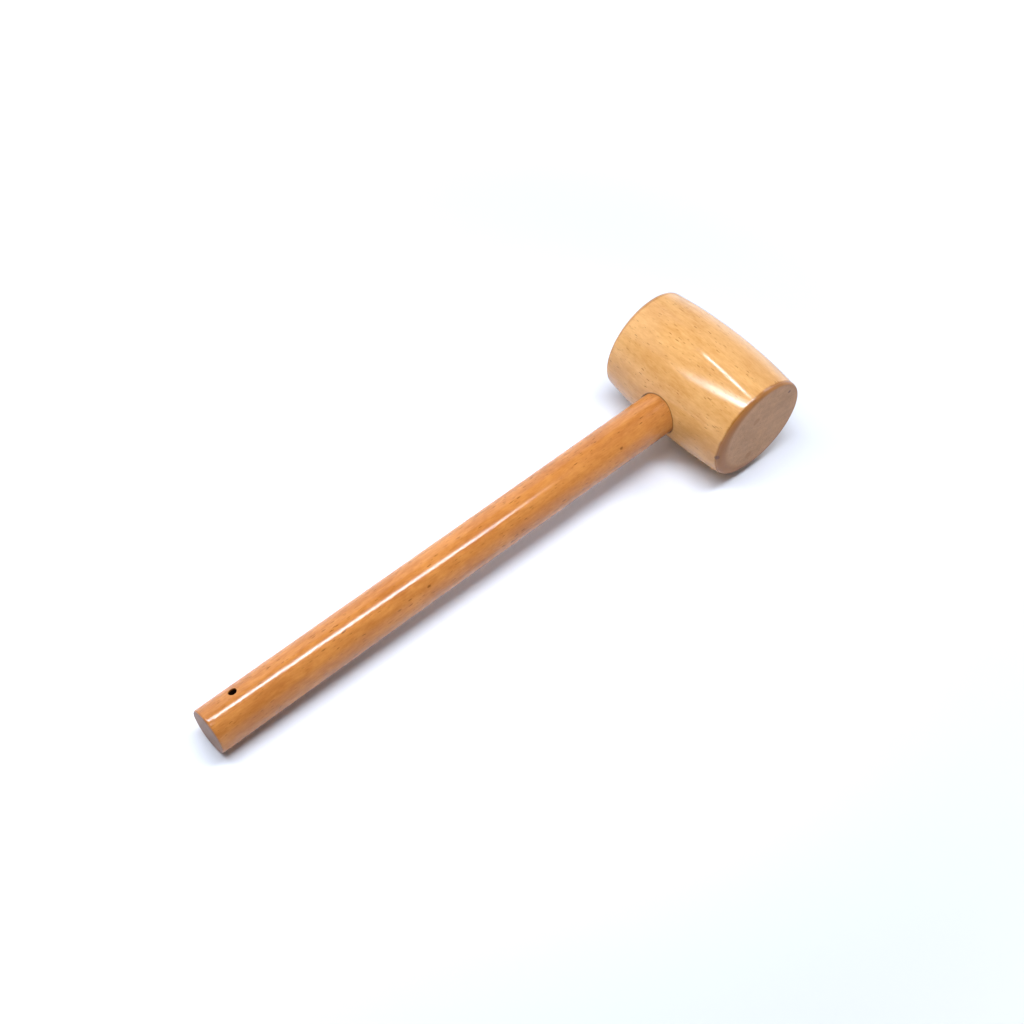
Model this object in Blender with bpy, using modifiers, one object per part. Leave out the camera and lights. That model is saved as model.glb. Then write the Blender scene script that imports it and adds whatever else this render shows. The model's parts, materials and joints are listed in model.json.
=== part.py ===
"""Wooden mallet: a barrel-shaped head on a straight round handle, held by a wedge.

The mallet lies on a flat surface at Z = 0, on the belly of its head and the lower edge of its
butt. The handle runs along X, from the butt to the head, and the head lies along Y. The origin
is on the surface, under the middle of the mallet's box. Lengths are in metres.

Each piece is modelled about one point, where the handle's axis crosses the head's axis, and is
parented to an empty there. The empty is raised and tilted to bring the mallet to rest.
"""

import math

import bmesh
import bpy

# Head
HEAD_LENGTH = 0.080
HEAD_MIDDLE_DIAMETER = 0.0615
HEAD_END_DIAMETER = 0.0565
RIM_DEPTH = 0.0026
RIM_WIDTH = 0.0036

# Handle
HANDLE_DIAMETER = 0.022
BUTT_TO_HEAD_AXIS = 0.296
BUTT_EASING = 0.0012

# Hanging hole, drilled across the handle
HANGING_HOLE_DIAMETER = 0.004
HANGING_HOLE_FROM_BUTT = 0.017
HANGING_HOLE_TURN = math.radians(20.0)

# Wedge, driven into a saw cut in the handle's top end
WEDGE_LENGTH = 0.034
WEDGE_THICK_END = 0.0042
WEDGE_THIN_END = 0.0012
SAW_CUT_BELOW_WEDGE = 0.006

# Clearance left between two pieces that fit together
JOINT_GAP = 0.0003

# Extra length on a cutter, or on stock that is trimmed back
TRIM_STOCK = 0.006

# Fineness of the round surfaces
HEAD_SIDES = 96
HANDLE_SIDES = 64
HOLE_SIDES = 24
BELLY_STATIONS = 12
RIM_STATIONS = 5
MERGE_DISTANCE = 0.00001

HEAD_COLOUR = (0.80, 0.47, 0.19, 1.0)
HANDLE_COLOUR = (0.60, 0.25, 0.08, 1.0)
WEDGE_COLOUR = (0.33, 0.16, 0.07, 1.0)
HEAD_ROUGHNESS = 0.35
HANDLE_ROUGHNESS = 0.28
WEDGE_ROUGHNESS = 0.6

HEAD_RADIUS = HEAD_MIDDLE_DIAMETER / 2
HANDLE_RADIUS = HANDLE_DIAMETER / 2
TENON_TOP = HEAD_RADIUS + TRIM_STOCK


def clear_scene():
    """Remove whatever the scene holds."""
    for item in list(bpy.data.objects):
        bpy.data.objects.remove(item, do_unlink=True)


def make_collection(name):
    """Return a new collection linked to the scene."""
    collection = bpy.data.collections.new(name)
    bpy.context.scene.collection.children.link(collection)
    return collection


def make_wood(name, colour, roughness):
    """Return a Principled material for one wooden piece."""
    wood = bpy.data.materials.new(name)
    wood.use_nodes = True
    shader = wood.node_tree.nodes["Principled BSDF"]
    shader.inputs["Base Color"].default_value = colour
    shader.inputs["Roughness"].default_value = roughness
    shader.inputs["Metallic"].default_value = 0.0
    wood.diffuse_color = colour
    return wood


def belly_radius(along):
    """Radius of the head at a distance along it from its middle, on one large arc."""
    half_length = HEAD_LENGTH / 2 - RIM_DEPTH
    fall = (HEAD_MIDDLE_DIAMETER - HEAD_END_DIAMETER) / 2
    sweep = (half_length ** 2 + fall ** 2) / (2 * fall)
    return HEAD_RADIUS - sweep + math.sqrt(sweep ** 2 - along ** 2)


def head_outline():
    """Points (radius, height) down the head's outer side, from one striking face to the other."""
    rim_start = HEAD_LENGTH / 2 - RIM_DEPTH
    face_radius = HEAD_END_DIAMETER / 2 - RIM_WIDTH
    upper_rim = []
    for step in range(RIM_STATIONS):
        turn = math.pi / 2 * step / RIM_STATIONS
        radius = face_radius + RIM_WIDTH * math.sin(turn)
        height = rim_start + RIM_DEPTH * math.cos(turn)
        upper_rim.append((radius, height))
    belly = []
    for step in range(BELLY_STATIONS + 1):
        height = rim_start - 2 * rim_start * step / BELLY_STATIONS
        belly.append((belly_radius(height), height))
    lower_rim = [(radius, -height) for radius, height in reversed(upper_rim)]
    return [(0.0, HEAD_LENGTH / 2)] + upper_rim + belly + lower_rim + [(0.0, -HEAD_LENGTH / 2)]


def handle_outline():
    """Points (radius, height) down the handle's outer side, from its top end to its butt."""
    outline = [(0.0, TENON_TOP), (HANDLE_RADIUS, TENON_TOP)]
    for step in range(RIM_STATIONS + 1):
        turn = math.pi / 2 * step / RIM_STATIONS
        radius = HANDLE_RADIUS - BUTT_EASING + BUTT_EASING * math.cos(turn)
        height = -BUTT_TO_HEAD_AXIS + BUTT_EASING - BUTT_EASING * math.sin(turn)
        outline.append((radius, height))
    outline.append((0.0, -BUTT_TO_HEAD_AXIS))
    return outline


def place(item, collection, rest, rotation):
    """Move an object to a collection, turn it and parent it to the resting empty."""
    for owner in list(item.users_collection):
        owner.objects.unlink(item)
    collection.objects.link(item)
    item.rotation_euler = rotation
    item.parent = rest


def turn_on_lathe(name, outline, sides):
    """Return an object turned about its own Z axis from an outline."""
    mesh = bpy.data.meshes.new(name)
    points = [(radius, 0.0, height) for radius, height in outline]
    edges = [(index, index + 1) for index in range(len(points) - 1)]
    mesh.from_pydata(points, edges, [])
    piece = bpy.data.objects.new(name, mesh)
    lathe = piece.modifiers.new("lathe", "SCREW")
    lathe.axis = "Z"
    lathe.steps = sides
    lathe.render_steps = sides
    lathe.use_merge_vertices = True
    lathe.merge_threshold = MERGE_DISTANCE
    lathe.use_smooth_shade = True
    return piece


def make_drill(name, diameter, length, sides):
    """Return a straight cylinder along its own Z axis, centred on the origin."""
    bpy.ops.mesh.primitive_cylinder_add(vertices=sides, radius=diameter / 2, depth=length)
    drill = bpy.context.active_object
    drill.name = name
    return drill


def make_tapered_block(name, low_x, high_x, low_thickness, high_thickness, width):
    """Return a block along X whose thickness, across Y, changes evenly from end to end."""
    mesh = bpy.data.meshes.new(name)
    shape = bmesh.new()
    bmesh.ops.create_cube(shape, size=2.0)
    for vertex in shape.verts:
        at_high_end = vertex.co.x > 0
        thickness = high_thickness if at_high_end else low_thickness
        vertex.co.x = high_x if at_high_end else low_x
        vertex.co.y *= thickness / 2
        vertex.co.z *= width / 2
    shape.to_mesh(mesh)
    shape.free()
    return bpy.data.objects.new(name, mesh)


def cut(piece, cutter, operation="DIFFERENCE"):
    """Add an exact Boolean modifier to a piece."""
    boolean = piece.modifiers.new(cutter.name, "BOOLEAN")
    boolean.operation = operation
    boolean.object = cutter
    boolean.solver = "EXACT"
    cutter.hide_render = True
    cutter.display_type = "WIRE"


def wedge_thickness(along):
    """Thickness of the wedge at a distance along the handle's axis from the head's axis."""
    taper = (WEDGE_THICK_END - WEDGE_THIN_END) / WEDGE_LENGTH
    return WEDGE_THICK_END + taper * (along - HEAD_RADIUS)


def make_rest():
    """Return the empty that holds the mallet tilted, with belly and butt on the surface."""
    reach = BUTT_TO_HEAD_AXIS - BUTT_EASING
    drop = HANDLE_RADIUS - BUTT_EASING
    to_butt_edge = math.hypot(reach, drop)
    tilt = math.asin((HEAD_RADIUS - BUTT_EASING) / to_butt_edge) - math.atan2(drop, reach)
    butt_end = reach * math.cos(tilt) + drop * math.sin(tilt) + BUTT_EASING
    rest = bpy.data.objects.new("mallet_rest", None)
    rest.location = ((butt_end - HEAD_RADIUS) / 2, 0.0, HEAD_RADIUS)
    rest.rotation_euler = (0.0, -tilt, 0.0)
    bpy.context.scene.collection.objects.link(rest)
    return rest


def build_mallet():
    """Build the head, the handle and the wedge, with the cutters that shape them."""
    clear_scene()
    pieces = make_collection("wooden_mallet")
    cutters = make_collection("mallet_cutters")
    rest = make_rest()
    along_head = (-math.pi / 2, 0.0, 0.0)
    along_handle = (0.0, math.pi / 2, 0.0)
    unturned = (0.0, 0.0, 0.0)

    # Turned blank of the head, against which the tenon and the wedge are trimmed flush
    head_former = turn_on_lathe("head_former", head_outline(), HEAD_SIDES)
    place(head_former, cutters, rest, along_head)
    waste = make_tapered_block(
        "flush_trim", 0.0, TENON_TOP + TRIM_STOCK, HEAD_LENGTH, HEAD_LENGTH, HEAD_LENGTH
    )
    place(waste, cutters, rest, unturned)
    cut(waste, head_former)

    # Head, with its eye bored right through
    head = turn_on_lathe("mallet_head", head_outline(), HEAD_SIDES)
    place(head, pieces, rest, along_head)
    eye_length = HEAD_MIDDLE_DIAMETER + 2 * TRIM_STOCK
    eye = make_drill("eye_drill", HANDLE_DIAMETER + 2 * JOINT_GAP, eye_length, HANDLE_SIDES)
    place(eye, cutters, rest, along_handle)
    cut(head, eye)
    head.data.materials.append(make_wood("head_wood", HEAD_COLOUR, HEAD_ROUGHNESS))

    # Handle, trimmed flush with the top of the head
    handle = turn_on_lathe("handle", handle_outline(), HANDLE_SIDES)
    place(handle, pieces, rest, along_handle)
    cut(handle, waste)
    handle.data.materials.append(make_wood("handle_wood", HANDLE_COLOUR, HANDLE_ROUGHNESS))

    # Saw cut in the handle's top end, opened out to the wedge's taper
    wedge_tip = HEAD_RADIUS - WEDGE_LENGTH
    tip_room = WEDGE_THIN_END + 2 * JOINT_GAP
    saw_cut = make_tapered_block(
        "saw_cut", wedge_tip - SAW_CUT_BELOW_WEDGE, TENON_TOP + TRIM_STOCK,
        tip_room, tip_room, 2 * HANDLE_DIAMETER
    )
    wedge_room = make_tapered_block(
        "wedge_room", wedge_tip - JOINT_GAP, TENON_TOP + TRIM_STOCK,
        wedge_thickness(wedge_tip - JOINT_GAP) + 2 * JOINT_GAP,
        wedge_thickness(TENON_TOP + TRIM_STOCK) + 2 * JOINT_GAP, 2 * HANDLE_DIAMETER
    )
    for cutter in (saw_cut, wedge_room):
        place(cutter, cutters, rest, unturned)
        cut(handle, cutter)

    # Hanging hole near the butt
    hole = make_drill("hanging_hole", HANGING_HOLE_DIAMETER, 2 * HANDLE_DIAMETER, HOLE_SIDES)
    place(hole, cutters, rest, (-HANGING_HOLE_TURN, 0.0, 0.0))
    hole.location.x = -BUTT_TO_HEAD_AXIS + HANGING_HOLE_FROM_BUTT
    cut(handle, hole)

    # Wedge, as wide as the tenon and trimmed flush with it
    wedge = make_tapered_block(
        "tenon_wedge", wedge_tip, TENON_TOP,
        WEDGE_THIN_END, wedge_thickness(TENON_TOP), 2 * HANDLE_DIAMETER
    )
    place(wedge, pieces, rest, unturned)
    tenon = make_drill("tenon_former", HANDLE_DIAMETER, 2 * eye_length, HANDLE_SIDES)
    place(tenon, cutters, rest, along_handle)
    cut(wedge, tenon, "INTERSECT")
    cut(wedge, waste)
    wedge.data.materials.append(make_wood("wedge_wood", WEDGE_COLOUR, WEDGE_ROUGHNESS))


build_mallet()
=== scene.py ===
"""Wooden mallet, visual model: a turned barrel head, a round handle and the wedge that holds them.

The mallet lies on a pale floor, on the belly of its head and the lower edge of its butt. Lengths
are in metres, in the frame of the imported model. Each piece is made in the mallet's own axes
(X along the handle towards the head, Y along the head, Z up), with the origin where the two axes
cross, and is then moved to its resting place, so that the finished object sits unturned at the
frame's origin.
"""

import json
import logging
import math
from dataclasses import dataclass, field
from enum import Enum
from typing import Callable, Iterable, Optional, Sequence, Union

import bpy
from mathutils import Matrix, Vector


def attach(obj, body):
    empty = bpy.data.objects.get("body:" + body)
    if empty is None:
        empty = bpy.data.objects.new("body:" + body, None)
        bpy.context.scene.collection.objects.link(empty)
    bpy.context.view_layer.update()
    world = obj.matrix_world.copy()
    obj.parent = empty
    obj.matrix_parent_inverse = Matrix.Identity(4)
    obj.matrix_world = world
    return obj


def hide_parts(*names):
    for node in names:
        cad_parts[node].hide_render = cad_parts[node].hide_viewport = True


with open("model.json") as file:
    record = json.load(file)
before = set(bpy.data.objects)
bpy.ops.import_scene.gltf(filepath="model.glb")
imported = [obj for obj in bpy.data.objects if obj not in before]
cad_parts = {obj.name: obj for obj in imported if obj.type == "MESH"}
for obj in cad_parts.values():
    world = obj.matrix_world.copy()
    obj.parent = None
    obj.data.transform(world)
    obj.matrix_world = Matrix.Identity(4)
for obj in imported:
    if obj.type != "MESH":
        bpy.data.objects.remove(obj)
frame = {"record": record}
LOG = logging.getLogger("wooden_mallet")

Colour = tuple[float, float, float]
Triple = tuple[float, float, float]
Setting = Union[str, bool, int, float]
Piece = bpy.types.Object
Socket = bpy.types.NodeSocket
Pair = tuple[float, float]

COOL_WHITE: Colour = (0.80, 0.87, 1.0)
# A cutter is this many radii long, so that it passes right through.
CUTTER_RADII = 4.0
# Quarter turns that lay a piece made along Z down along another axis.
ALONG_X = Matrix.Rotation(math.pi / 2, 4, "Y")
ALONG_Y = Matrix.Rotation(math.pi / 2, 4, "X")


class Cut(Enum):
    """How a cutter shapes the piece it meets."""

    REMOVE = "DIFFERENCE"
    KEEP = "INTERSECT"


# ---- Bench: the few hand operations that every piece is made with ----


@dataclass(frozen=True)
class Ring:
    """One ring of a turned piece: its height on the lathe's axis, radius and sideways shift."""

    height: float
    radius: float
    shift: Pair = (0.0, 0.0)


class Bench:
    """Modelling steps shared by the head, the handle and the wedge."""

    facing: float = 0.9
    end_lean: float = 0.2
    sharp: float = math.radians(32.0)

    @staticmethod
    def clear_selection() -> None:
        """Deselect every object."""
        bpy.ops.object.select_all(action="DESELECT")

    @staticmethod
    def select(piece: Piece) -> None:
        """Make a piece the only selected and active object.

        Args:
            piece: The object to select.
        """
        Bench.clear_selection()
        piece.select_set(True)
        bpy.context.view_layer.objects.active = piece

    @staticmethod
    def turn(name: str, rings: Sequence[Ring], sides: int) -> Piece:
        """Turn a closed piece about the Z axis by extruding a disc from ring to ring.

        Args:
            name: Name of the new object.
            rings: The rings in order along the axis; the first and last are small end discs.
            sides: Number of sides of every ring.

        Returns:
            The turned object, closed and facing out.
        """
        Bench.clear_selection()
        first = rings[0]
        bpy.ops.mesh.primitive_circle_add(vertices=sides, radius=first.radius, fill_type="NGON")
        piece = bpy.context.active_object
        piece.name = name
        bpy.ops.object.mode_set(mode="EDIT")
        bpy.ops.mesh.select_all(action="SELECT")
        bpy.ops.transform.translate(value=(*first.shift, first.height))
        for before, ring in zip(rings, rings[1:]):
            step = (
                ring.shift[0] - before.shift[0],
                ring.shift[1] - before.shift[1],
                ring.height - before.height,
            )
            scale = ring.radius / before.radius
            bpy.ops.mesh.extrude_region_move(TRANSFORM_OT_translate={"value": step})
            bpy.ops.transform.resize(
                value=(scale, scale, 1.0), center_override=(*ring.shift, ring.height)
            )
        bpy.ops.mesh.select_all(action="SELECT")
        bpy.ops.mesh.normals_make_consistent(inside=False)
        bpy.ops.object.mode_set(mode="OBJECT")
        return piece

    @staticmethod
    def cylinder(name: str, diameter: float, length: float, sides: int) -> Piece:
        """Add a plain cylinder along Z, to be used as a cutter.

        Args:
            name: Name of the new object.
            diameter: Its diameter.
            length: Its length, half each side of the origin.
            sides: Number of sides.

        Returns:
            The cylinder.
        """
        Bench.clear_selection()
        bpy.ops.mesh.primitive_cylinder_add(vertices=sides, radius=diameter / 2, depth=length)
        piece = bpy.context.active_object
        piece.name = name
        return piece

    @staticmethod
    def tapered_block(
        name: str, low_x: float, high_x: float, low_thick: float, high_thick: float, width: float
    ) -> Piece:
        """Add a block along X whose thickness across Y changes evenly from end to end.

        Args:
            name: Name of the new object.
            low_x: Its lower end on X.
            high_x: Its upper end on X.
            low_thick: Thickness at the lower end.
            high_thick: Thickness at the upper end.
            width: Width along Z.

        Returns:
            The block.
        """
        Bench.clear_selection()
        middle = (low_x + high_x) / 2
        bpy.ops.mesh.primitive_cube_add(
            size=1.0, location=(middle, 0.0, 0.0), scale=(high_x - low_x, low_thick, width)
        )
        piece = bpy.context.active_object
        piece.name = name
        bpy.ops.object.transform_apply(location=True, rotation=True, scale=True)
        Bench.select_faces(piece, lambda face: face.normal.x > Bench.facing)
        bpy.ops.object.mode_set(mode="EDIT")
        bpy.ops.transform.resize(
            value=(1.0, high_thick / low_thick, 1.0), center_override=(high_x, 0.0, 0.0)
        )
        bpy.ops.object.mode_set(mode="OBJECT")
        return piece

    @staticmethod
    def select_faces(piece: Piece, wanted: Callable[[bpy.types.MeshPolygon], bool]) -> None:
        """Select the faces of a piece that pass a test, and only those.

        Args:
            piece: The object, in object mode.
            wanted: Function of a face that says whether it is selected.
        """
        Bench.select(piece)
        bpy.ops.object.mode_set(mode="EDIT")
        bpy.ops.mesh.select_mode(type="FACE")
        bpy.ops.mesh.select_all(action="DESELECT")
        bpy.ops.object.mode_set(mode="OBJECT")
        for face in piece.data.polygons:
            if wanted(face):
                face.select = True

    @staticmethod
    def apply_modifier(piece: Piece, modifier: bpy.types.Modifier) -> None:
        """Apply one modifier of a piece."""
        Bench.select(piece)
        bpy.ops.object.modifier_apply(modifier=modifier.name)

    @staticmethod
    def cut(piece: Piece, cutter: Piece, how: Cut = Cut.REMOVE) -> None:
        """Cut one piece with another, exactly.

        Args:
            piece: The object that is shaped.
            cutter: The closed object that shapes it.
            how: Whether the overlap is removed or kept.
        """
        boolean = piece.modifiers.new(cutter.name, "BOOLEAN")
        boolean.operation = how.value
        boolean.object = cutter
        boolean.solver = "EXACT"
        Bench.apply_modifier(piece, boolean)

    @staticmethod
    def stretch_along(piece: Piece, factor: float) -> None:
        """Stretch a piece's mesh along X, about the origin.

        Args:
            piece: The object to stretch.
            factor: How many times longer it becomes.
        """
        Bench.select(piece)
        bpy.ops.object.mode_set(mode="EDIT")
        bpy.ops.mesh.select_all(action="SELECT")
        bpy.ops.transform.resize(value=(factor, 1.0, 1.0), center_override=(0.0, 0.0, 0.0))
        bpy.ops.object.mode_set(mode="OBJECT")

    @staticmethod
    def uneven(piece: Piece, depth: float, patch: float, length: float = 1.0) -> None:
        """Press a faint hand-finished unevenness into a surface, never outwards.

        Long hollows are kept off the flat ends, which they would tip.

        Args:
            piece: The object whose surface is worked.
            depth: Greatest depth of the hollows.
            patch: Width of one hollow.
            length: How many times longer than wide the hollows are, along X.
        """
        limit = Bench.end_lean if length > 1.0 else math.inf
        worked = [point.index for point in piece.data.vertices if abs(point.normal.x) < limit]
        group = piece.vertex_groups.new(name="worked")
        group.add(worked, 1.0, "REPLACE")
        Bench.stretch_along(piece, 1.0 / length)
        clouds = bpy.data.textures.new(piece.name + "_hollows", "CLOUDS")
        clouds.noise_scale = patch
        clouds.noise_depth = 1
        hollows = piece.modifiers.new("hollows", "DISPLACE")
        hollows.texture = clouds
        hollows.texture_coords = "LOCAL"
        hollows.direction = "NORMAL"
        hollows.mid_level = 0.0
        hollows.vertex_group = "worked"
        hollows.strength = -depth
        Bench.apply_modifier(piece, hollows)
        Bench.stretch_along(piece, length)
        piece.vertex_groups.clear()

    @staticmethod
    def settle(piece: Piece, place: Matrix) -> None:
        """Move a piece from the origin to a place and write that place into its mesh.

        Args:
            piece: The object, at the origin.
            place: Where it goes.
        """
        piece.matrix_world = place
        Bench.select(piece)
        bpy.ops.object.transform_apply(location=True, rotation=True, scale=True)

    @staticmethod
    def smooth(piece: Piece) -> None:
        """Shade a piece smooth, keeping its sharp edges."""
        Bench.select(piece)
        bpy.ops.object.shade_smooth_by_angle(angle=Bench.sharp)

    @staticmethod
    def copy(piece: Piece, name: str) -> Piece:
        """Return a copy of a piece with its own mesh.

        Args:
            piece: The object to copy.
            name: Name of the copy.

        Returns:
            The copy.
        """
        double = piece.copy()
        double.data = piece.data.copy()
        double.name = name
        bpy.context.scene.collection.objects.link(double)
        return double

    @staticmethod
    def discard(*pieces: Piece) -> None:
        """Remove cutters that have done their work."""
        for piece in pieces:
            bpy.data.objects.remove(piece, do_unlink=True)


# ---- Shader maths ----


class Wire:
    """A number socket that takes part in Python arithmetic, adding Math nodes as it goes."""

    def __init__(self, maker: "NodeMaker", socket: Socket) -> None:
        """Wrap a socket.

        Args:
            maker: The maker whose tree the socket is in.
            socket: An output socket that gives a number.
        """
        self.maker = maker
        self.socket = socket

    def _with(self, operation: str, *values: "Number") -> "Wire":
        """Return a Math node's result."""
        return self.maker.maths(operation, *values)

    def __add__(self, other: "Number") -> "Wire":
        """Return self + other."""
        return self._with("ADD", self, other)

    def __sub__(self, other: "Number") -> "Wire":
        """Return self - other."""
        return self._with("SUBTRACT", self, other)

    def __mul__(self, other: "Number") -> "Wire":
        """Return self * other."""
        return self._with("MULTIPLY", self, other)

    def __truediv__(self, other: "Number") -> "Wire":
        """Return self / other."""
        return self._with("DIVIDE", self, other)

    def __rsub__(self, other: "Number") -> "Wire":
        """Return other - self."""
        return self._with("SUBTRACT", other, self)

    def __abs__(self) -> "Wire":
        """Return the size of self without its sign."""
        return self._with("ABSOLUTE", self)

    def __gt__(self, other: "Number") -> "Wire":
        """Return 1 where self is greater than other, else 0."""
        return self._with("GREATER_THAN", self, other)

    __radd__ = __add__
    __rmul__ = __mul__


Number = Union[Wire, float]


@dataclass(frozen=True)
class Specks:
    """One kind of small mark: the cell it sits in, its full and faded radius, and how common."""

    cell: Triple
    core: float
    edge: float
    share: float


@dataclass(frozen=True)
class Grain:
    """One soft variation of the wood: lumps to a metre on each axis, its weight and texture."""

    scale: Triple
    weight: float
    detail: float = 2.0
    roughness: float = 0.5


class NodeMaker:
    """Adds nodes to one material's or one world's tree."""

    def __init__(self, owner: Union[bpy.types.Material, bpy.types.World], shader: str) -> None:
        """Start on a material or world that already uses nodes.

        Args:
            owner: The material or world to work in.
            shader: The name of its shader node.
        """
        self.tree = owner.node_tree
        self.shader = self.tree.nodes[shader]

    def node(self, kind: str, settings: dict[str, Setting], inputs: dict) -> bpy.types.Node:
        """Add a node, with its settings first and then its sockets.

        Args:
            kind: The node's type name.
            settings: Properties of the node.
            inputs: Socket names or numbers, with a value, a colour or a link for each.

        Returns:
            The new node.
        """
        made = self.tree.nodes.new(kind)
        for name, value in settings.items():
            setattr(made, name, value)
        for name, value in inputs.items():
            self.feed(made.inputs[name], value)
        return made

    def feed(self, socket: Socket, value: object) -> None:
        """Link a socket, or set it where the value is plain.

        Args:
            socket: The input socket.
            value: A Wire, an output socket, a number or a colour.
        """
        source = value.socket if isinstance(value, Wire) else value
        if isinstance(source, Socket):
            self.tree.links.new(source, socket)
        elif socket.type == "RGBA" and len(source) == 3:
            socket.default_value = (*source, 1.0)
        else:
            socket.default_value = source

    def maths(self, operation: str, *values: Number) -> Wire:
        """Return the result of a Math node."""
        made = self.node("ShaderNodeMath", {"operation": operation}, dict(enumerate(values)))
        return Wire(self, made.outputs[0])

    def hypot(self, side: Wire, rise: Wire) -> Wire:
        """Return the length of the slope with two sides."""
        return self.maths("SQRT", side * side + rise * rise)

    def ease(self, value: Number, low: float, high: float) -> Wire:
        """Return a value that eases from 0 at low to 1 at high, in either order of the two.

        Args:
            value: The value.
            low: Where the result is 0.
            high: Where the result is 1.

        Returns:
            The eased value.
        """
        made = self.node(
            "ShaderNodeMapRange",
            {"interpolation_type": "SMOOTHSTEP"},
            {"Value": value, "From Min": low, "From Max": high},
        )
        return Wire(self, made.outputs["Result"])

    def mix(self, share: Number, first: object, second: object) -> Socket:
        """Return the colour that is first where share is 0 and second where it is 1."""
        made = self.node("ShaderNodeMix", {"data_type": "RGBA"}, {"Factor": share, 6: first, 7: second})
        return made.outputs[2]

    def vector_maths(self, operation: str, first: object, second: object) -> bpy.types.Node:
        """Return a Vector Math node of two vectors."""
        return self.node("ShaderNodeVectorMath", {"operation": operation}, {0: first, 1: second})

    def stretch(self, vector: object, scale: Triple) -> Socket:
        """Return a vector with each of its parts multiplied."""
        return self.vector_maths("MULTIPLY", vector, scale).outputs["Vector"]

    def split(self, vector: object) -> tuple[Wire, Wire, Wire]:
        """Return a vector's three parts."""
        made = self.node("ShaderNodeSeparateXYZ", {}, {"Vector": vector})
        return tuple(Wire(self, part) for part in made.outputs)

    def distance(self, vector: object, point: Triple) -> Wire:
        """Return the distance from a place to a fixed point."""
        return Wire(self, self.vector_maths("DISTANCE", vector, point).outputs["Value"])

    def noise(self, place: object, grain: Grain) -> bpy.types.Node:
        """Return a soft noise node, with a grain's scale and texture.

        Args:
            place: The place.
            grain: The noise to make.

        Returns:
            The noise node.
        """
        inputs = {"Vector": self.stretch(place, grain.scale), "Scale": 1.0}
        inputs.update({"Detail": grain.detail, "Roughness": grain.roughness})
        return self.node("ShaderNodeTexNoise", {"noise_dimensions": "3D"}, inputs)

    def cloud(self, place: object, grain: Grain) -> Wire:
        """Return a grain's noise, from 0 to its weight."""
        return Wire(self, self.noise(place, grain).outputs[0]) * grain.weight

    def sway(self, place: object, grain: Grain) -> Wire:
        """Return a grain's noise about zero."""
        return self.cloud(place, grain) - grain.weight / 2

    def specks(self, place: object, kind: Specks) -> Wire:
        """Return specks, one in some of the cells of a grid.

        Args:
            place: The place, in metres.
            kind: The specks' sizes and how common they are.

        Returns:
            1 in a speck and 0 outside.
        """
        vector = self.stretch(place, tuple(1.0 / side for side in kind.cell))
        cells = self.node("ShaderNodeTexVoronoi", {"feature": "F1"}, {"Vector": vector, "Scale": 1.0})
        pick = self.node("ShaderNodeSeparateColor", {}, {"Color": cells.outputs["Color"]})
        held = Wire(self, pick.outputs[0]) > 1.0 - kind.share
        return self.ease(Wire(self, cells.outputs["Distance"]), kind.edge, kind.core) * held

    def warp(self, place: object, grain: Grain) -> Socket:
        """Return a place pushed about by a soft noise, to give marks ragged edges.

        Args:
            place: The place.
            grain: The noise, whose weight is the furthest that a place is pushed.

        Returns:
            The pushed place.
        """
        middle = (0.5, 0.5, 0.5)
        push = self.noise(place, grain).outputs["Color"]
        centred = self.vector_maths("SUBTRACT", push, middle).outputs["Vector"]
        shift = self.stretch(centred, (2.0 * grain.weight,) * 3)
        return self.vector_maths("ADD", place, shift).outputs["Vector"]

    def grain_place(self, grain: Matrix) -> Socket:
        """Return the place in a wood's own axes, X along its grain.

        Args:
            grain: The wood's axes and origin, in the frame.

        Returns:
            The vector, in metres.
        """
        where = self.node("ShaderNodeTexCoord", {}, {})
        turned = self.node(
            "ShaderNodeMapping",
            {"vector_type": "TEXTURE"},
            {
                "Vector": where.outputs["Object"],
                "Location": tuple(grain.to_translation()),
                "Rotation": tuple(grain.to_euler()),
            },
        )
        return turned.outputs["Vector"]


# ---- Finishes ----


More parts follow.
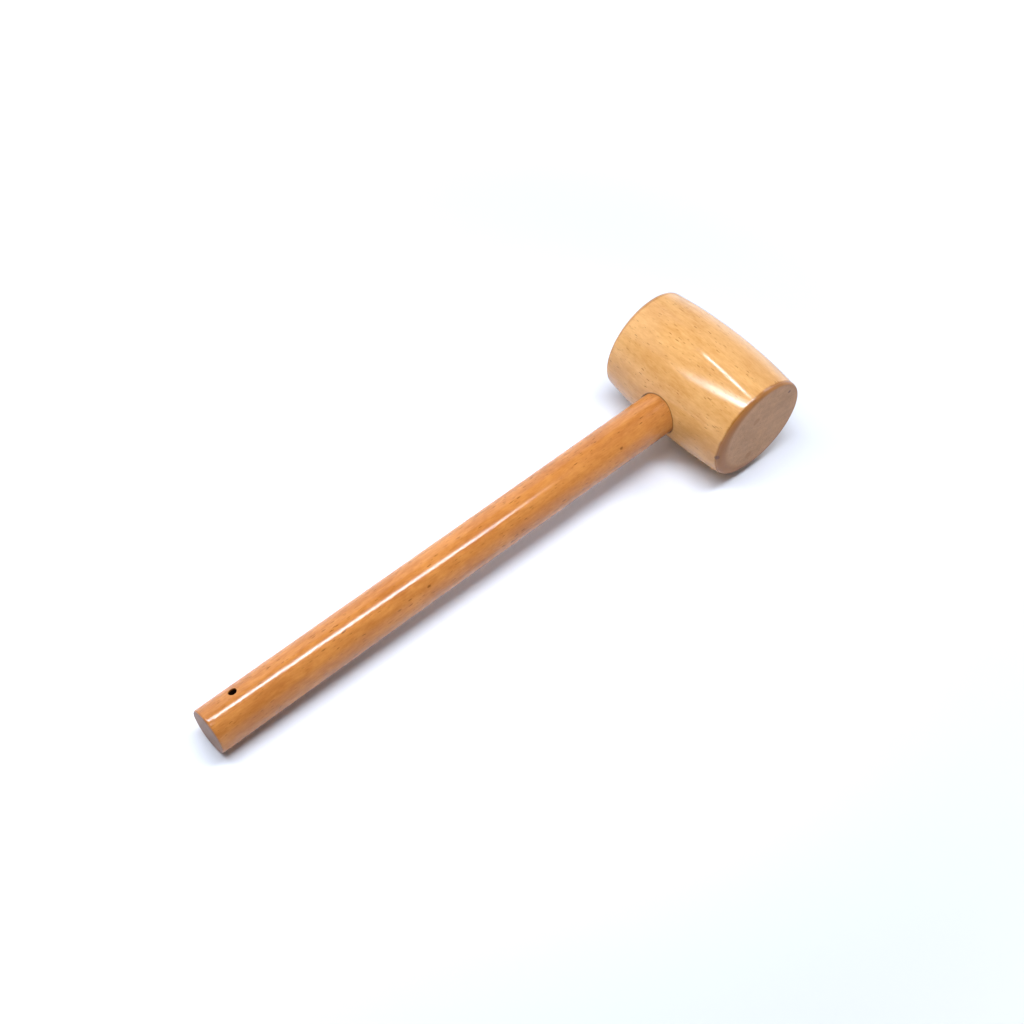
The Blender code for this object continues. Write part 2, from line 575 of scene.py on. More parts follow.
@dataclass(frozen=True)
class Timber:
    """A lacquered hardwood: growth rings, fibres, mottling and open pores, in its own grain."""

    name: str
    pale: Colour
    deep: Colour
    pore: Colour
    end_pale: Colour
    end_deep: Colour
    pith: Pair
    ring_width: float
    ring_share: float = 0.08
    ring_sway: Grain = Grain((9.0, 34.0, 34.0), 1.6)
    late_wood: Triple = (0.15, 0.9, 0.93)
    mottle: Grain = Grain((38.0, 95.0, 95.0), 1.0, 3.0, 0.55)
    mottle_edges: Pair = (0.28, 0.72)
    mottle_share: float = 0.32
    streak: Grain = Grain((42.0, 300.0, 300.0), 0.32, 3.0, 0.6)
    blotch: Grain = Grain((210.0, 480.0, 480.0), 0.56, 2.0, 0.6)
    fibre: Grain = Grain((220.0, 1300.0, 1300.0), 0.70, 3.0, 0.65)
    flecks: Specks = Specks((0.0062, 0.0013, 0.0013), 0.12, 0.27, 0.50)
    fine_pores: Specks = Specks((0.0042, 0.0010, 0.0010), 0.12, 0.30, 0.50)
    pits: Specks = Specks((0.0120, 0.0070, 0.0070), 0.05, 0.12, 0.25)
    ragged: Grain = Grain((500.0, 900.0, 900.0), 0.0004)
    crowd: Grain = Grain((70.0, 160.0, 160.0), 1.0)
    crowd_edges: Pair = (0.36, 0.64)
    lone_flecks: float = 0.25
    fine_share: float = 0.6
    pore_strength: float = 0.75
    gloss: float = 0.13
    bare: float = 0.55
    wear: Grain = Grain((120.0, 300.0, 300.0), 0.08, 3.0, 0.6)
    skin: Grain = Grain((260.0, 620.0, 620.0), 0.14, 1.0)
    brush_depth: float = 0.22
    brush: Grain = Grain((420.0, 1700.0, 1700.0), 1.0, 2.0, 0.6)
    sawn: Grain = Grain((900.0, 900.0, 900.0), 0.5)
    pore_depth: float = 0.12
    relief: float = 0.00005
    lacquer_ior: float = 1.43

    def start(self) -> tuple[bpy.types.Material, NodeMaker]:
        """Return a new material and the maker for its nodes.

        Returns:
            The material and the maker.
        """
        material = bpy.data.materials.new(self.name)
        material.use_nodes = True
        material.diffuse_color = (*self.pale, 1.0)
        return material, NodeMaker(material, "Principled BSDF")

    def rings(self, maker: NodeMaker, place: Socket) -> Wire:
        """Return the late wood of the growth rings.

        Args:
            maker: The material's node maker.
            place: The place in the wood's own axes.

        Returns:
            1 at the dark edge of each ring, fading to 0.
        """
        _, across, up = maker.split(place)
        side = across - self.pith[0]
        rise = up - self.pith[1]
        reach = maker.hypot(side, rise) / self.ring_width
        phase = maker.maths("FRACT", reach + maker.sway(place, self.ring_sway))
        start, full, end = self.late_wood
        return maker.ease(phase, start, full) * maker.ease(phase, 1.0, end)

    def pores(self, maker: NodeMaker, place: Socket) -> Wire:
        """Return the open pores: short dashes along the grain and dots across it.

        Args:
            maker: The material's node maker.
            place: The place in the wood's own axes.

        Returns:
            1 in a pore and 0 outside.
        """
        ragged = maker.warp(place, self.ragged)
        flecks = maker.specks(ragged, self.flecks)
        fine = maker.specks(ragged, self.fine_pores)
        pits = maker.specks(ragged, self.pits)
        crowd = maker.ease(maker.cloud(place, self.crowd), *self.crowd_edges)
        flecks = flecks * (self.lone_flecks + crowd * (1.0 - self.lone_flecks))
        dashes = maker.maths("MAXIMUM", flecks, fine * crowd * self.fine_share)
        return maker.maths("MAXIMUM", dashes, pits)

    def figure(self, maker: NodeMaker, place: Socket) -> Wire:
        """Return how deep the wood's colour is, from its rings, fibres and mottling.

        Args:
            maker: The material's node maker.
            place: The place in the wood's own axes.

        Returns:
            0 for the pale colour and 1 for the deep one.
        """
        mottle = maker.ease(maker.cloud(place, self.mottle), *self.mottle_edges)
        depth = 0.5 + (mottle - 0.5) * self.mottle_share
        for grain in (self.streak, self.blotch, self.fibre):
            depth = depth + maker.sway(place, grain)
        return maker.ease(depth + self.rings(maker, place) * self.ring_share, 0.0, 1.0)

    def dress(self, piece: Piece, grain: Matrix) -> None:
        """Make the finish for a piece and put it on.

        Args:
            piece: The piece to dress.
            grain: The wood's axes and origin, in the frame.
        """
        material, maker = self.start()
        place = maker.grain_place(grain)
        depth = self.figure(maker, place)
        pores = self.pores(maker, place)
        bare = self.bare_wood(maker, place)
        side_colour = maker.mix(depth, self.pale, self.deep)
        end_colour = maker.mix(depth, self.end_pale, self.end_deep)
        colour = maker.mix(bare, side_colour, end_colour)
        colour = self.tint(maker, place, colour)
        colour = maker.mix(pores * self.pore_strength, colour, self.pore)
        roughness = self.gloss + maker.sway(place, self.wear)
        roughness = roughness + self.dull(maker, place, bare) * (self.bare - self.gloss)
        height = maker.cloud(place, self.skin) + maker.cloud(place, self.brush) * self.brush_depth
        height = height - pores * self.pore_depth + bare * maker.cloud(place, self.sawn)
        bump = maker.node(
            "ShaderNodeBump", {}, {"Strength": 1.0, "Distance": self.relief, "Height": height}
        )
        maker.feed(maker.shader.inputs["Base Color"], colour)
        maker.feed(maker.shader.inputs["Roughness"], roughness)
        maker.feed(maker.shader.inputs["Normal"], bump.outputs["Normal"])
        maker.shader.inputs["IOR"].default_value = self.lacquer_ior
        piece.data.materials.clear()
        piece.data.materials.append(material)

    def bare_wood(self, maker: NodeMaker, place: Socket) -> Number:
        """Return where the wood is bare end grain; nowhere, unless a finish says otherwise."""
        return maker.maths("MULTIPLY", 0.0, 0.0)

    def dull(self, maker: NodeMaker, place: Socket, bare: Number) -> Number:
        """Return where the lacquer has no shine; the bare wood, unless a finish says otherwise."""
        return bare

    def tint(self, maker: NodeMaker, place: Socket, colour: Socket) -> Socket:
        """Return the colour with the finish's own marks; unchanged, unless a finish says so."""
        return colour


@dataclass(frozen=True)
class Mark:
    """A small dark flaw in the wood: a pin knot or a bruise."""

    place: Triple
    radius: float
    strength: float
    colour: Colour


@dataclass(frozen=True, kw_only=True)
class HeadTimber(Timber):
    """The head's pale wood, with bare dull striking faces and a darker eased rim."""

    half_length: float
    rim_depth: float
    face_radius: float
    face_shift: Pair
    end_edges: Pair = (0.0009, 0.0002)
    face_edges: Pair = (0.0016, -0.0030)
    dull_edges: Pair = (0.0022, 0.0008)
    dull_share: float = 0.8
    rim_colour: Colour = (0.25, 0.085, 0.014)
    rim_edges: Pair = (-0.0003, 0.0009)
    rim_ragged: Grain = Grain((90.0, 240.0, 240.0), 0.0012, 3.0)
    rim_share: float = 0.92
    far_rim_loss: float = 0.35
    eye_radius: float = 0.0112
    eye_edges: Pair = (0.0006, 0.0001)
    eye_ragged: float = 0.3
    eye_share: float = 0.8
    # Painted shade: a dark ring round the eye, standing in for the shade in the gap around the handle.
    eye_painted_shade: Colour = (0.12, 0.045, 0.012)
    mark_ragged: Grain = Grain((900.0, 900.0, 900.0), 0.0006)
    mark_core: float = 0.5
    rim_pit: Mark = Mark((-0.0388, 0.0277, 0.0002), 0.0019, 0.9, (0.12, 0.035, 0.010))
    face_speck: Mark = Mark((-0.0400, -0.0187, 0.0150), 0.0012, 0.8, (0.10, 0.035, 0.018))
    face_bruise: Mark = Mark((-0.0400, 0.0032, 0.0095), 0.0030, 0.6, (0.26, 0.100, 0.026))
    low_bruise: Mark = Mark((-0.0400, 0.0043, -0.0155), 0.0030, 0.6, (0.26, 0.100, 0.026))

    def from_face_centre(self, maker: NodeMaker, place: Socket) -> Wire:
        """Return the distance from the centre line of the two striking faces.

        Args:
            maker: The material's node maker.
            place: The place in the wood's own axes.

        Returns:
            The distance, in metres.
        """
        _, across, up = maker.split(place)
        side = across + self.face_shift[0]
        rise = up - self.face_shift[1]
        return maker.hypot(side, rise)

    def bare_wood(self, maker: NodeMaker, place: Socket) -> Number:
        """Return the flat striking faces, which have lost their lacquer.

        Args:
            maker: The material's node maker.
            place: The place in the wood's own axes.

        Returns:
            1 on the flat faces and 0 elsewhere.
        """
        along, _, _ = maker.split(place)
        at_end = maker.ease(abs(along), *(self.half_length - edge for edge in self.end_edges))
        in_face = maker.ease(
            self.from_face_centre(maker, place), *(self.face_radius + edge for edge in self.face_edges)
        )
        return at_end * in_face

    def dull(self, maker: NodeMaker, place: Socket, bare: Number) -> Number:
        """Return the bare faces and the outer part of the rim, where the lacquer sank in.

        Args:
            maker: The material's node maker.
            place: The place in the wood's own axes.
            bare: Where the wood is bare.

        Returns:
            1 where there is no shine.
        """
        along, _, _ = maker.split(place)
        outer_rim = maker.ease(abs(along), *(self.half_length - edge for edge in self.dull_edges))
        return maker.maths("MAXIMUM", bare, outer_rim * self.dull_share)

    def tint(self, maker: NodeMaker, place: Socket, colour: Socket) -> Socket:
        """Return the colour with the rim darkened, painted shade round the eye and the marks added.

        Args:
            maker: The material's node maker.
            place: The place in the wood's own axes.
            colour: The plain wood's colour.

        Returns:
            The head's colour.
        """
        along, _, up = maker.split(place)
        rim_start = self.half_length - self.rim_depth
        ragged = maker.sway(place, self.rim_ragged)
        rim = maker.ease(abs(along) + ragged, *(rim_start + edge for edge in self.rim_edges))
        rim = rim * (1.0 - self.bare_wood(maker, place))
        strength = self.rim_share - (along > 0.0) * self.far_rim_loss
        colour = maker.mix(rim * strength, colour, self.rim_colour)
        # A dark ring is painted round the eye: painted shade for the gap where the handle enters the head.
        from_handle = maker.hypot(along, up) + ragged * self.eye_ragged
        eye = maker.ease(from_handle, *(self.eye_radius + edge for edge in self.eye_edges))
        colour = maker.mix(eye * self.eye_share, colour, self.eye_painted_shade)
        ragged_place = maker.warp(place, self.mark_ragged)
        for mark in (self.rim_pit, self.face_speck, self.face_bruise, self.low_bruise):
            away = maker.distance(ragged_place, mark.place)
            spot = maker.ease(away, mark.radius, mark.radius * self.mark_core)
            colour = maker.mix(spot * mark.strength, colour, mark.colour)
        return colour


@dataclass(frozen=True, kw_only=True)
class HandleTimber(Timber):
    """The handle's orange wood, dull and greyer on its two sawn ends, with painted shade in the hanging
    hole.
    """

    butt_reach: float
    butt_edges: Pair = (0.0005, 0.0002)
    top_reach: float = 0.028
    top_edge: float = 0.0004
    radius: float
    hole_along: float
    hole_turn: float
    hole_radius: float
    hole_edge: float = 0.0003
    wall_edges: Pair = (0.0001, 0.0012)
    # Painted shade: the near-black colour of the hanging hole's wall.
    hole_painted_shade: Colour = (0.02, 0.008, 0.003)

    def bare_wood(self, maker: NodeMaker, place: Socket) -> Number:
        """Return the sawn ends of the handle.

        Args:
            maker: The material's node maker.
            place: The place in the wood's own axes.

        Returns:
            1 on the sawn ends and 0 elsewhere.
        """
        along, _, _ = maker.split(place)
        butt = maker.ease(along, *(edge - self.butt_reach for edge in self.butt_edges))
        top = maker.ease(along, self.top_reach - self.top_edge, self.top_reach)
        return maker.maths("MAXIMUM", butt, top)

    def tint(self, maker: NodeMaker, place: Socket, colour: Socket) -> Socket:
        """Return the colour with the hanging hole's wall painted almost black, as painted shade.

        Args:
            maker: The material's node maker.
            place: The place in the wood's own axes.
            colour: The plain wood's colour.

        Returns:
            The handle's colour.
        """
        along, across, up = maker.split(place)
        off = along - self.hole_along
        beside = across * math.cos(self.hole_turn) - up * math.sin(self.hole_turn)
        from_hole = maker.hypot(off, beside)
        from_axis = maker.hypot(across, up)
        # The hole's wall is darkened almost to black: painted shade inside the hole.
        wall = maker.ease(from_hole, self.hole_radius + self.hole_edge, self.hole_radius)
        wall = wall * maker.ease(from_axis, *(self.radius - edge for edge in self.wall_edges))
        return maker.mix(wall, colour, self.hole_painted_shade)


# ---- The mallet ----


@dataclass(frozen=True)
class MalletSizes:
    """The sizes that the head, the handle and the wedge share."""

    head_length: float = 0.080
    head_radius: float = 0.0615 / 2
    head_end_radius: float = 0.0565 / 2
    rim_depth: float = 0.0026
    rim_width: float = 0.0036
    handle_radius: float = 0.011
    butt_to_head_axis: float = 0.296
    butt_easing: float = 0.0012
    eye_gap: float = 0.00016
    wedge_gap: float = 0.00008
    stock: float = 0.006

    def rest(self) -> Matrix:
        """Return the place of the mallet's own axes when it lies on belly and butt.

        Returns:
            The place, in the frame.
        """
        reach = self.butt_to_head_axis - self.butt_easing
        drop = self.handle_radius - self.butt_easing
        lift = (self.head_radius - self.butt_easing) / math.hypot(reach, drop)
        tilt = math.asin(lift) - math.atan2(drop, reach)
        face = Vector(frame["record"]["mounts"][0]["pos_m"])
        return Matrix.Translation((face.x, 0.0, face.z)) @ Matrix.Rotation(-tilt, 4, "Y")

    def belly_radius(self, along: float) -> float:
        """Return the head's radius at a distance along it from its middle.

        Args:
            along: Distance from the middle of the head.

        Returns:
            The radius there.
        """
        half = self.head_length / 2 - self.rim_depth
        fall = self.head_radius - self.head_end_radius
        sweep = (half**2 + fall**2) / (2 * fall)
        return self.head_radius - sweep + math.sqrt(sweep**2 - along**2)


@dataclass
class BarrelHead:
    """The turned head: a barrel with hand-eased rims and an eye bored through it."""

    sizes: MalletSizes
    sides: int = 240
    belly_steps: int = 64
    rim_steps: int = 12
    rim_turn: float = math.radians(84.0)
    face_steps: int = 10
    centre_disc: float = 0.0008
    face_shift: Pair = (0.0022, 0.0016)
    hollow_depth: float = 0.00005
    hollow_width: float = 0.014
    drill_sides: int = 128
    blank: Piece = field(default=None, init=False)

    def end_rings(self) -> list[Ring]:
        """Return the rings from a striking face's centre out over its rim, at the +Z end.

        Returns:
            The rings, in order outwards.
        """
        face_radius = self.sizes.head_end_radius - self.sizes.rim_width
        top = self.sizes.head_length / 2
        rings = []
        for step in range(self.face_steps):
            share = step / self.face_steps
            radius = self.centre_disc + (face_radius - self.centre_disc) * share
            rings.append(Ring(top, radius, self.face_shift))
        full_width = self.sizes.rim_width / math.sin(self.rim_turn)
        full_depth = self.sizes.rim_depth / (1 - math.cos(self.rim_turn))
        for step in range(self.rim_steps):
            turn = self.rim_turn * step / self.rim_steps
            radius = face_radius + full_width * math.sin(turn)
            height = top - full_depth * (1 - math.cos(turn))
            left = 1 - math.sin(turn) / math.sin(self.rim_turn)
            shift = (self.face_shift[0] * left, self.face_shift[1] * left)
            rings.append(Ring(height, radius, shift))
        return rings

    def build_blank(self) -> Piece:
        """Turn the head before its eye is bored.

        Returns:
            The solid blank, in the mallet's own axes.
        """
        near = self.end_rings()
        far = [Ring(-ring.height, ring.radius, ring.shift) for ring in reversed(near)]
        rim_start = self.sizes.head_length / 2 - self.sizes.rim_depth
        belly = []
        for step in range(self.belly_steps + 1):
            height = rim_start - 2 * rim_start * step / self.belly_steps
            belly.append(Ring(height, self.sizes.belly_radius(height)))
        blank = Bench.turn("head_blank", near + belly + far, self.sides)
        Bench.settle(blank, ALONG_Y)
        Bench.uneven(blank, self.hollow_depth, self.hollow_width)
        self.blank = blank
        return blank

    def build(self) -> Piece:
        """Bore the eye through a copy of the blank and set the head in its place.

        Returns:
            The finished head.
        """
        head = Bench.copy(self.blank, "barrel_head")
        eye = 2 * (self.sizes.handle_radius + self.sizes.eye_gap)
        reach = CUTTER_RADII * self.sizes.head_radius
        drill = Bench.cylinder("eye_drill", eye, reach, self.drill_sides)
        Bench.settle(drill, ALONG_X)
        Bench.cut(head, drill)
        Bench.discard(drill)
        Bench.settle(head, self.sizes.rest())
        Bench.smooth(head)
        return head

    def dress(self, head: Piece) -> None:
        """Put the pale wood on the head, its grain along the head.

        Args:
            head: The finished head.
        """
        HeadTimber(
            name="pale_head_wood",
            pale=(0.61, 0.325, 0.113),
            deep=(0.44, 0.200, 0.052),
            pore=(0.20, 0.078, 0.012),
            end_pale=(0.47, 0.245, 0.112),
            end_deep=(0.30, 0.145, 0.058),
            pith=(-0.020, 0.055),
            ring_width=0.0042,
            half_length=self.sizes.head_length / 2,
            rim_depth=self.sizes.rim_depth,
            face_radius=self.sizes.head_end_radius - self.sizes.rim_width,
            face_shift=self.face_shift,
        ).dress(head, self.sizes.rest() @ Matrix.Rotation(math.pi / 2, 4, "Z"))


@dataclass
class RoundHandle:
    """The handle: a straight rod with an eased butt, a hanging hole and a slit, trimmed tenon."""

    sizes: MalletSizes
    sides: int = 112
    ring_spacing: float = 0.004
    easing_steps: int = 6
    end_steps: int = 5
    centre_disc: float = 0.0005
    hole_diameter: float = 0.004
    hole_from_butt: float = 0.017
    hole_turn: float = math.radians(20.0)
    drill_sides: int = 48
    hollow_depth: float = 0.00004
    hollow_width: float = 0.016
    facet_depth: float = 0.000022
    facet_width: float = 0.0055
    facet_length: float = 11.0

    def rings(self) -> list[Ring]:
        """Return the rings from the butt's centre to the centre of the untrimmed top end.

        Returns:
            The rings, in order.
        """
        radius, easing = self.sizes.handle_radius, self.sizes.butt_easing
        butt, top = -self.sizes.butt_to_head_axis, self.sizes.head_radius + self.sizes.stock
        rings = []
        for step in range(self.end_steps):
            share = step / self.end_steps
            rings.append(Ring(butt, self.centre_disc + (radius - easing - self.centre_disc) * share))
        for step in range(self.easing_steps + 1):
            turn = math.pi / 2 * step / self.easing_steps
            ring_radius = radius - easing + easing * math.sin(turn)
            rings.append(Ring(butt + easing - easing * math.cos(turn), ring_radius))
        count = round((top - butt) / self.ring_spacing)
        for step in range(1, count + 1):
            rings.append(Ring(butt + easing + (top - butt - easing) * step / count, radius))
        rings.append(Ring(top, self.centre_disc))
        return rings

    def build(self, waste: Piece, wedge_room: Piece) -> Piece:
        """Turn the rod, drill its hole, slit its tenon and trim it flush.

        Args:
            waste: What lies outside the head's top, cut away from the tenon.
            wedge_room: The slit that the wedge fills.

        Returns:
            The finished handle.
        """
        handle = Bench.turn("round_handle", self.rings(), self.sides)
        Bench.settle(handle, ALONG_X)
        Bench.uneven(handle, self.hollow_depth, self.hollow_width)
        Bench.uneven(handle, self.facet_depth, self.facet_width, self.facet_length)
        reach = CUTTER_RADII * self.sizes.handle_radius
        drill = Bench.cylinder("hanging_drill", self.hole_diameter, reach, self.drill_sides)
        along = -self.sizes.butt_to_head_axis + self.hole_from_butt
        lean = Matrix.Rotation(-self.hole_turn, 4, "X")
        Bench.settle(drill, Matrix.Translation((along, 0.0, 0.0)) @ lean)
        for cutter in (drill, waste, wedge_room):
            Bench.cut(handle, cutter)
        Bench.discard(drill)
        Bench.settle(handle, self.sizes.rest())
        Bench.smooth(handle)
        return handle

    def dress(self, handle: Piece) -> None:
        """Put the orange wood on the handle, its grain along the handle.

        Args:
            handle: The finished handle.
        """
        HandleTimber(
            name="orange_handle_wood",
            pale=(0.525, 0.206, 0.047),
            deep=(0.350, 0.112, 0.021),
            pore=(0.16, 0.045, 0.006),
            end_pale=(0.275, 0.158, 0.110),
            end_deep=(0.210, 0.118, 0.080),
            flecks=Specks((0.0062, 0.0013, 0.0013), 0.12, 0.27, 0.56),
            pore_strength=0.85,
            pith=(0.030, -0.024),
            ring_width=0.0034,
            brush_depth=0.40,
            butt_reach=self.sizes.butt_to_head_axis,
            radius=self.sizes.handle_radius,
            hole_along=self.hole_from_butt - self.sizes.butt_to_head_axis,
            hole_turn=self.hole_turn,
            hole_radius=self.hole_diameter / 2,
        ).dress(handle, self.sizes.rest())


@dataclass
class TenonWedge:
    """The hardwood wedge in the slit of the tenon, trimmed flush with the head."""

    sizes: MalletSizes
    length: float = 0.034
    thick_end: float = 0.0042
    thin_end: float = 0.0012
    run_out: float = 0.006
    round_sides: int = 96

    def thickness(self, along: float) -> float:
        """Return the wedge's thickness at a distance along the handle from the head's axis."""
        taper = (self.thick_end - self.thin_end) / self.length
        return self.thick_end + taper * (along - self.sizes.head_radius)

    def block(self, name: str, spare: float, low_spare: float) -> Piece:
        """Make the wedge's taper as a block.

        Args:
            name: Name of the new object.
            spare: Room added to each of its two faces.
            low_spare: Length added below its thin end.

        Returns:
            The block, standing out above the head.
        """
        low = self.sizes.head_radius - self.length - low_spare
        high = self.sizes.head_radius + self.sizes.stock
        thin = self.thickness(self.sizes.head_radius - self.length)
        thick = self.thickness(high)
        width = CUTTER_RADII * self.sizes.handle_radius
        return Bench.tapered_block(name, low, high, thin + 2 * spare, thick + 2 * spare, width)

    def build(self, waste: Piece) -> Piece:
        """Shape the wedge to the tenon's round and trim it flush.

        Args:
            waste: What lies outside the head's top, cut away from the wedge.

        Returns:
            The finished wedge.
        """
        wedge = self.block("driven_wedge", 0.0, 0.0)
        diameter = 2 * self.sizes.handle_radius
        reach = CUTTER_RADII * self.sizes.head_radius
        tenon = Bench.cylinder("tenon_round", diameter, reach, self.round_sides)
        Bench.settle(tenon, ALONG_X)
        Bench.cut(wedge, tenon, Cut.KEEP)
        Bench.cut(wedge, waste)
        Bench.discard(tenon)
        Bench.settle(wedge, self.sizes.rest())
        Bench.smooth(wedge)
        return wedge

    def dress(self, wedge: Piece) -> None:
        """Put the dark wood on the wedge, its grain along its length.

        Args:
            wedge: The finished wedge.
        """
        Timber(
            name="dark_wedge_wood",
            pale=(0.30, 0.15, 0.07),
            deep=(0.17, 0.08, 0.035),
            pore=(0.06, 0.03, 0.015),
            end_pale=(0.26, 0.14, 0.07),
            end_deep=(0.17, 0.08, 0.035),
            pith=(0.012, 0.020),
            ring_width=0.0018,
            flecks=Specks((0.0075, 0.0016, 0.0016), 0.12, 0.27, 0.42),
            gloss=0.5,
        ).dress(wedge, self.sizes.rest())


@dataclass
class WoodenMallet:
    """The whole mallet, built piece by piece."""

    sizes: MalletSizes = field(default_factory=MalletSizes)

    def hand_over(self, piece: Piece, node: str) -> None:
        """Let a piece stand for its CAD node and report it.

        Args:
            piece: The finished piece.
            node: The CAD node that it replaces.
        """
        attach(piece, "root")
        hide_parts(node)
        LOG.info("%s: %d faces, for %s", piece.name, len(piece.data.polygons), node)

    def build(self) -> None:
        """Build and dress the head, the handle and the wedge."""
        head_maker = BarrelHead(self.sizes)
        handle_maker = RoundHandle(self.sizes)
        wedge_maker = TenonWedge(self.sizes)
        blank = head_maker.build_blank()
        end = self.sizes.head_radius + 2 * self.sizes.stock
        side = self.sizes.head_length
        waste = Bench.tapered_block("top_waste", 0.0, end, side, side, side)
        Bench.cut(waste, blank)
        wedge_room = wedge_maker.block("wedge_room", self.sizes.wedge_gap, wedge_maker.run_out)

        head = head_maker.build()
        head_maker.dress(head)
        self.hand_over(head, "mallet_head")
        handle = handle_maker.build(waste, wedge_room)
        handle_maker.dress(handle)
        self.hand_over(handle, "handle")
        wedge = wedge_maker.build(waste)
        wedge_maker.dress(wedge)
        self.hand_over(wedge, "tenon_wedge")
        Bench.discard(blank, waste, wedge_room)


# ---- The studio ----


def area_light(
    name: str, size: Pair, radiance: float, spread: float, colour: Colour
) -> Piece:
    """Add a flat rectangular light at the origin, facing down.

    Args:
        name: The light's name.
        size: Its length on X and width on Y.
        radiance: How bright its surface is.
        spread: Width of the cone that it lights.
        colour: Its colour.

    Returns:
        The light, unseen by the camera.
    """
    lamp = bpy.data.lights.new(name, "AREA")
    lamp.shape = "RECTANGLE"
    lamp.size, lamp.size_y = size
    lamp.energy = radiance * math.pi * size[0] * size[1]
    lamp.spread = spread
    lamp.color = colour
    light = bpy.data.objects.new(name, lamp)
    light.visible_camera = False
    bpy.context.scene.collection.objects.link(light)
    return light


@dataclass(frozen=True)
class StripLight:
    """A flat strip of light above the mallet, facing down towards it."""

    name: str
    start: Pair
    end: Pair
    width: float
    radiance: float
    spread: float = 180.0
    height: float = 0.45
    colour: Colour = COOL_WHITE

    def hang(self, above: Vector, only_on: Optional[Piece] = None) -> None:
        """Hang the strip over a point.

        Args:
            above: The point that start, end and height are measured from.
            only_on: The one piece it lights, if it is flagged off from the rest.
        """
        run = Vector(self.end) - Vector(self.start)
        middle = (Vector(self.end) + Vector(self.start)) / 2
        size = (run.length, self.width)
        light = area_light(self.name, size, self.radiance, math.radians(self.spread), self.colour)
        light.location = above + Vector((middle.x, middle.y, self.height))
        light.rotation_euler = (0.0, 0.0, math.atan2(run.y, run.x))
        if only_on is not None:
            flagged = bpy.data.collections.new(self.name + "_on")
            flagged.objects.link(only_on)
            light.light_linking.receiver_collection = flagged


@dataclass(frozen=True)
class SoftPanel:
    """A large soft panel of light that faces a point."""

    name: str
    place: Triple
    aim: Triple
    size: Pair
    radiance: float
    colour: Colour = COOL_WHITE

    def stand(self) -> None:
        """Stand the panel in its place."""
        light = area_light(self.name, self.size, self.radiance, math.pi, self.colour)
        facing = Vector(self.aim) - Vector(self.place)
        light.location = self.place
        light.rotation_euler = facing.to_track_quat("-Z", "Y").to_euler()


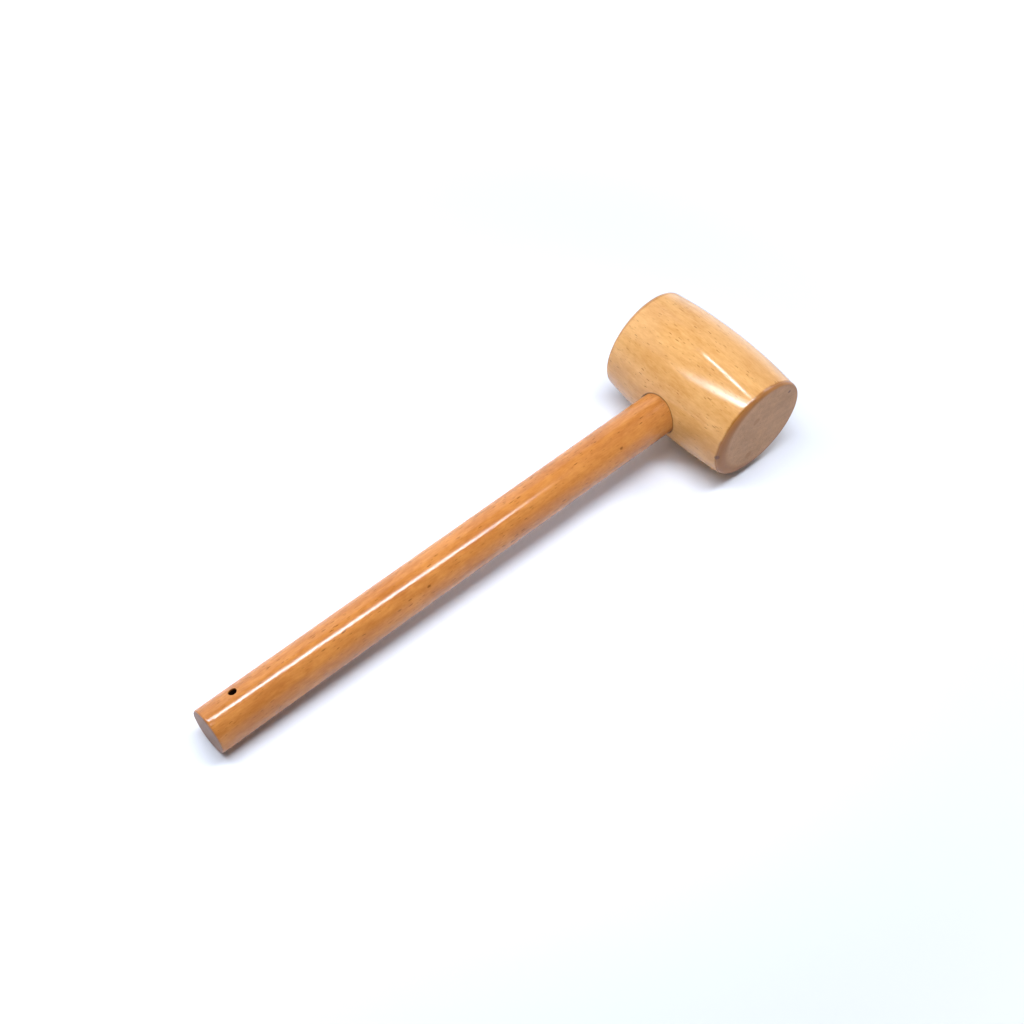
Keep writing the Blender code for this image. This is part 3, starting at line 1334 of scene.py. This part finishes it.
@dataclass
class Studio:
    """A pale floor, soft white surroundings, strip lights overhead and the camera."""

    sizes: MalletSizes
    floor_side: float = 8.0
    floor_colour: Colour = (0.76, 0.76, 0.77)
    floor_roughness: float = 0.9
    floor_sheen: float = 0.1
    sweep_start: float = 0.18
    sweep_end: float = 0.60
    painted_glow_white: Colour = (1.0, 1.0, 1.0)
    ceiling: Colour = (0.080, 0.087, 0.100)
    horizon: Colour = (1.0, 1.0, 1.0)
    horizon_top: float = 0.10
    ceiling_start: float = 0.32
    azimuth: float = math.radians(-45.7)
    elevation: float = math.radians(51.71)
    roll: float = math.radians(5.53)
    distance: float = 0.734
    aim: Pair = (0.0225, 0.0144)
    lens: float = 53.0
    long_lamp: StripLight = StripLight(
        "long_lamp", start=(-0.541, 0.306), end=(0.03, -0.145), width=0.050, radiance=14.5, spread=108.0
    )
    long_lamp_rim: StripLight = StripLight(
        "long_lamp_rim", start=(-0.513, 0.341), end=(0.055, -0.108), width=0.042, radiance=3.4, spread=108.0
    )
    thin_lamp: StripLight = StripLight(
        "thin_lamp", start=(0.050, 0.169), end=(-0.005, 0.027), width=0.012, radiance=76.0
    )
    left_panel: SoftPanel = SoftPanel(
        "left_panel", place=(-0.45, -0.15, 1.2), aim=(-0.45, -0.15, 0.0), size=(0.6, 0.3), radiance=6.0
    )
    right_panel: SoftPanel = SoftPanel(
        "right_panel", place=(1.05, -0.15, 1.2), aim=(1.05, -0.15, 0.0), size=(0.6, 0.3), radiance=15.0
    )
    back_panel: SoftPanel = SoftPanel(
        "back_panel", place=(0.0, 1.1, 0.7), aim=(0.0, 0.0, 0.2), size=(2.0, 1.2), radiance=1.3
    )
    side_panel: SoftPanel = SoftPanel(
        "side_panel", place=(1.0, 0.0, 0.6), aim=(0.0, 0.0, 0.3), size=(2.0, 1.2), radiance=0.5
    )

    def lay_floor(self) -> None:
        """Lay the pale floor, which glows ever whiter away from the mallet: painted light added to the
        lamplight.
        """
        Bench.clear_selection()
        bpy.ops.mesh.primitive_plane_add(size=self.floor_side)
        floor = bpy.context.active_object
        floor.name = "pale_floor"
        material = bpy.data.materials.new("pale_floor")
        material.use_nodes = True
        maker = NodeMaker(material, "Principled BSDF")
        maker.shader.inputs["Base Color"].default_value = (*self.floor_colour, 1.0)
        maker.shader.inputs["Roughness"].default_value = self.floor_roughness
        maker.shader.inputs["Specular IOR Level"].default_value = self.floor_sheen
        # Painted light: the floor glows, from nothing near the mallet to white further out, brightening the
        # far floor.
        maker.shader.inputs["Emission Strength"].default_value = 1.0
        place = maker.node("ShaderNodeTexCoord", {}, {}).outputs["Object"]
        away = maker.distance(place, (0.0, 0.0, 0.0))
        sweep = maker.ease(away, self.sweep_start, self.sweep_end)
        glow = maker.mix(sweep, (0.0, 0.0, 0.0), self.painted_glow_white)
        maker.feed(maker.shader.inputs["Emission Color"], glow)
        floor.data.materials.append(material)

    def light(self, head: Piece) -> None:
        """Light the surroundings, hang the strip lights and stand the panels.

        Args:
            head: The mallet's head, which the thin lamp is flagged to.
        """
        world = bpy.data.worlds.new("soft_white")
        world.use_nodes = True
        maker = NodeMaker(world, "Background")
        _, _, height = maker.split(maker.node("ShaderNodeTexCoord", {}, {}).outputs["Generated"])
        overhead = maker.ease(height, self.horizon_top, self.ceiling_start)
        maker.feed(maker.shader.inputs["Color"], maker.mix(overhead, self.horizon, self.ceiling))
        bpy.context.scene.world = world
        bpy.context.scene.view_settings.view_transform = "Standard"
        above = self.sizes.rest().to_translation()
        for strip in (self.long_lamp, self.long_lamp_rim):
            strip.hang(above)
        self.thin_lamp.hang(above, head)
        for panel in (self.left_panel, self.right_panel, self.back_panel, self.side_panel):
            panel.stand()

    def set_camera(self) -> None:
        """Set up the camera."""
        lens = bpy.data.cameras.new("camera")
        lens.lens = self.lens
        camera = bpy.data.objects.new("camera", lens)
        back = Vector((
            math.cos(self.elevation) * math.sin(self.azimuth),
            -math.cos(self.elevation) * math.cos(self.azimuth),
            math.sin(self.elevation),
        ))
        right = Vector((math.cos(self.azimuth), math.sin(self.azimuth), 0.0))
        turned = Matrix.Rotation(self.roll, 3, back)
        right = turned @ right
        up = back.cross(right)
        camera.matrix_world = Matrix.Translation(Vector((*self.aim, 0.0)) + back * self.distance) @ (
            Matrix((right, up, back)).transposed().to_4x4()
        )
        bpy.context.scene.collection.objects.link(camera)
        bpy.context.scene.camera = camera


def main() -> None:
    """Build the mallet and its studio."""
    logging.basicConfig(level=logging.INFO, format="%(name)s: %(message)s")
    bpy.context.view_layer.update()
    mallet = WoodenMallet()
    mallet.build()
    studio = Studio(mallet.sizes)
    studio.lay_floor()
    studio.light(bpy.data.objects["barrel_head"])
    studio.set_camera()


if __name__ == "__main__":
    main()
